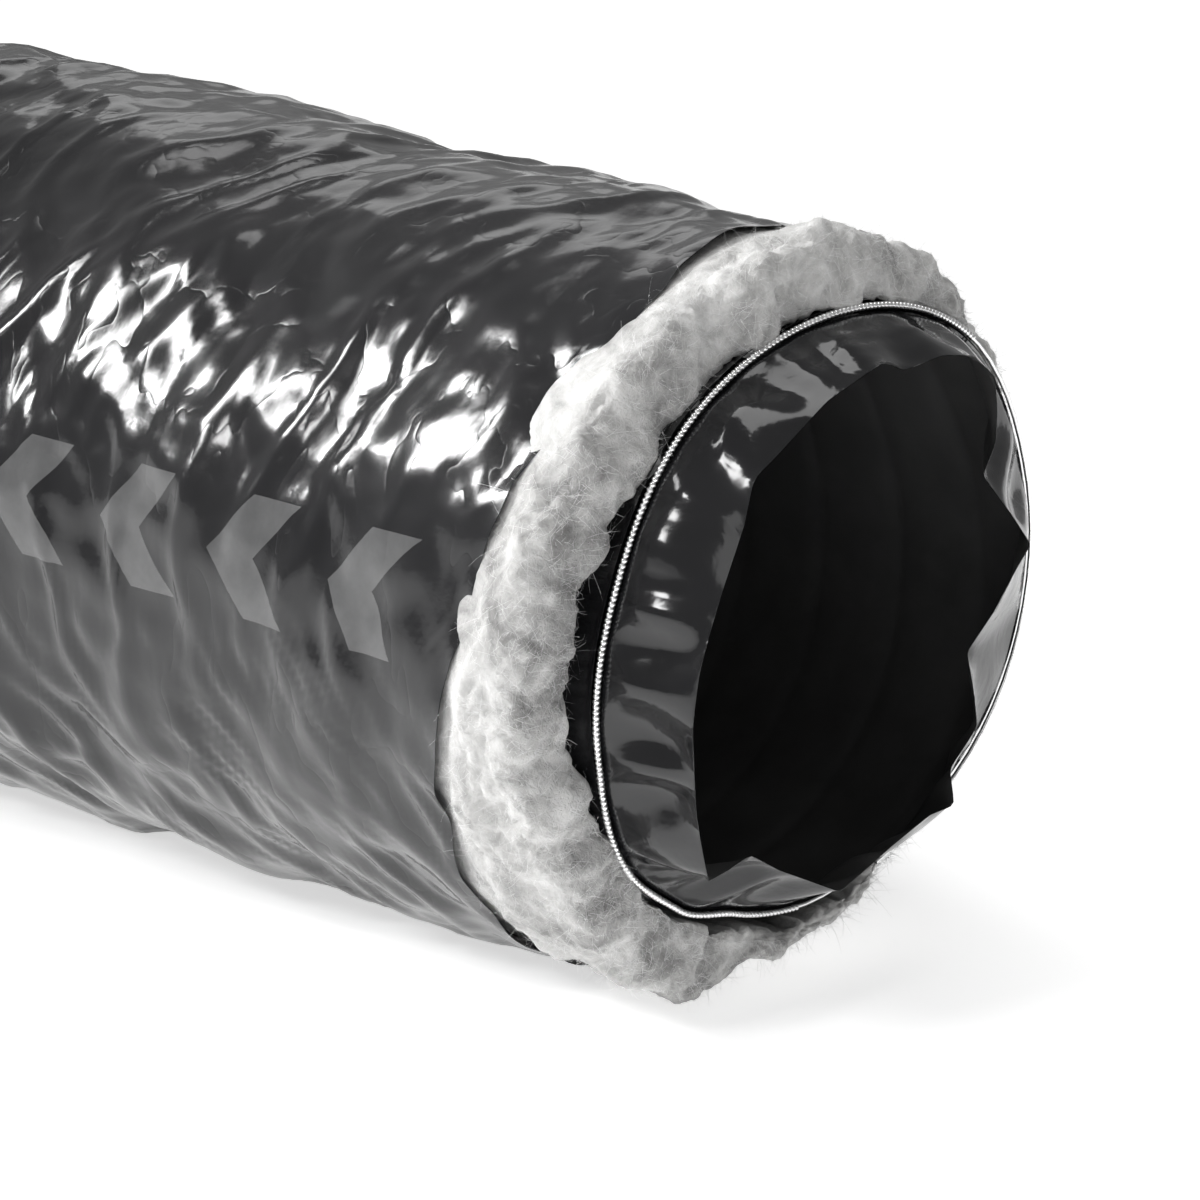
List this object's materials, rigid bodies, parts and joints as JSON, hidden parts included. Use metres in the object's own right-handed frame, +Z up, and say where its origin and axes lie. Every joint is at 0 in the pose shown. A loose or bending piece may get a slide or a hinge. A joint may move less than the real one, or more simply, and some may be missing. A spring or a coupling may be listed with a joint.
{
  "type": "flexible air duct",
  "caption": "Insulated flexible air duct: film core on a wire helix, glass wool blanket and loose film jacket; it bends and closes up.",
  "frame": {"origin": "centre of the front mouth of the core, on the duct's axis", "axes": "+X along the duct's axis and out of its front mouth, +Z up with the duct lying on its flattened underside"},
  "size_m": [1.22, 0.264, 0.26],
  "materials": {
    "jacket_film": "crumpled glossy black polyethylene film",
    "glass_wool": "soft off-white glass fibre blanket with loose fibres",
    "core_film": "thin glossy black polyester film, matte inside",
    "spring_wire": "bright spring steel wire"
  },
  "bodies": {
    "length_1": {"jacket_length_1": "jacket_film", "blanket_length_1": "glass_wool", "core_outer_ply_1": "core_film", "core_inner_ply_1": "core_film", "front_jacket_gather": "jacket_film", "front_blanket_gather": "glass_wool"},
    "length_2": {"jacket_length_2": "jacket_film", "blanket_length_2": "glass_wool", "core_outer_ply_2": "core_film", "core_inner_ply_2": "core_film", "jacket_span_front_bend": "jacket_film", "blanket_span_front_bend": "glass_wool", "core_span_front_bend": "core_film", "wire_helix_front_bend": "spring_wire"},
    "length_3": {"jacket_length_3": "jacket_film", "blanket_length_3": "glass_wool", "core_outer_ply_3": "core_film", "core_inner_ply_3": "core_film", "jacket_span_front_concertina": "jacket_film", "blanket_span_front_concertina": "glass_wool", "core_span_front_concertina": "core_film", "wire_helix_front_concertina": "spring_wire", "jacket_span_middle_bend": "jacket_film", "blanket_span_middle_bend": "glass_wool", "core_span_middle_bend": "core_film", "wire_helix_middle_bend": "spring_wire"},
    "length_4": {"jacket_length_4": "jacket_film", "blanket_length_4": "glass_wool", "core_outer_ply_4": "core_film", "core_inner_ply_4": "core_film", "jacket_span_rear_concertina": "jacket_film", "blanket_span_rear_concertina": "glass_wool", "core_span_rear_concertina": "core_film", "wire_helix_rear_concertina": "spring_wire"},
    "length_5": {"jacket_length_5": "jacket_film", "blanket_length_5": "glass_wool", "core_outer_ply_5": "core_film", "core_inner_ply_5": "core_film", "jacket_span_rear_bend": "jacket_film", "blanket_span_rear_bend": "glass_wool", "core_span_rear_bend": "core_film", "wire_helix_rear_bend": "spring_wire"},
    "length_6": {"jacket_length_6": "jacket_film", "blanket_length_6": "glass_wool", "core_outer_ply_6": "core_film", "core_inner_ply_6": "core_film", "rear_jacket_gather": "jacket_film", "rear_blanket_gather": "glass_wool"},
    "front_sleeve": {"front_jacket_cuff": "jacket_film", "front_blanket_cuff": "glass_wool"},
    "rear_sleeve": {"rear_jacket_cuff": "jacket_film", "rear_blanket_cuff": "glass_wool"}
  },
  "joints": [
    {"name": "front_concertina", "type": "slide", "parent": "length_3", "child": "length_2", "axis": [1, 0, 0], "range_m": [-0.055, 0], "deforming": ["jacket_span_front_concertina", "blanket_span_front_concertina", "core_span_front_concertina", "wire_helix_front_concertina"]},
    {"name": "front_bend", "type": "hinge", "parent": "length_2", "child": "length_1", "pos_m": [-0.322, 0, 0], "axis": [0, 0, 1], "range_deg": [-20, 20], "deforming": ["jacket_span_front_bend", "blanket_span_front_bend", "core_span_front_bend", "wire_helix_front_bend"]},
    {"name": "front_sleeve_slide", "type": "slide", "parent": "length_1", "child": "front_sleeve", "axis": [1, 0, 0], "range_m": [-0.05, 0.05], "deforming": ["front_jacket_gather", "front_blanket_gather"]},
    {"name": "middle_bend", "type": "hinge", "parent": "length_3", "child": "length_4", "pos_m": [-0.61, 0, 0], "axis": [0, 1, 0], "range_deg": [-20, 20], "deforming": ["jacket_span_middle_bend", "blanket_span_middle_bend", "core_span_middle_bend", "wire_helix_middle_bend"]},
    {"name": "rear_concertina", "type": "slide", "parent": "length_4", "child": "length_5", "axis": [-1, 0, 0], "range_m": [-0.055, 0], "deforming": ["jacket_span_rear_concertina", "blanket_span_rear_concertina", "core_span_rear_concertina", "wire_helix_rear_concertina"]},
    {"name": "rear_bend", "type": "hinge", "parent": "length_5", "child": "length_6", "pos_m": [-0.898, 0, 0], "axis": [0, 0, 1], "range_deg": [-20, 20], "deforming": ["jacket_span_rear_bend", "blanket_span_rear_bend", "core_span_rear_bend", "wire_helix_rear_bend"]},
    {"name": "rear_sleeve_slide", "type": "slide", "parent": "length_6", "child": "rear_sleeve", "axis": [-1, 0, 0], "range_m": [-0.05, 0.05], "deforming": ["rear_jacket_gather", "rear_blanket_gather"]}
  ],
  "couplings": [
    {"joint": "rear_concertina", "follows": "front_concertina", "ratio": 1}
  ]
}
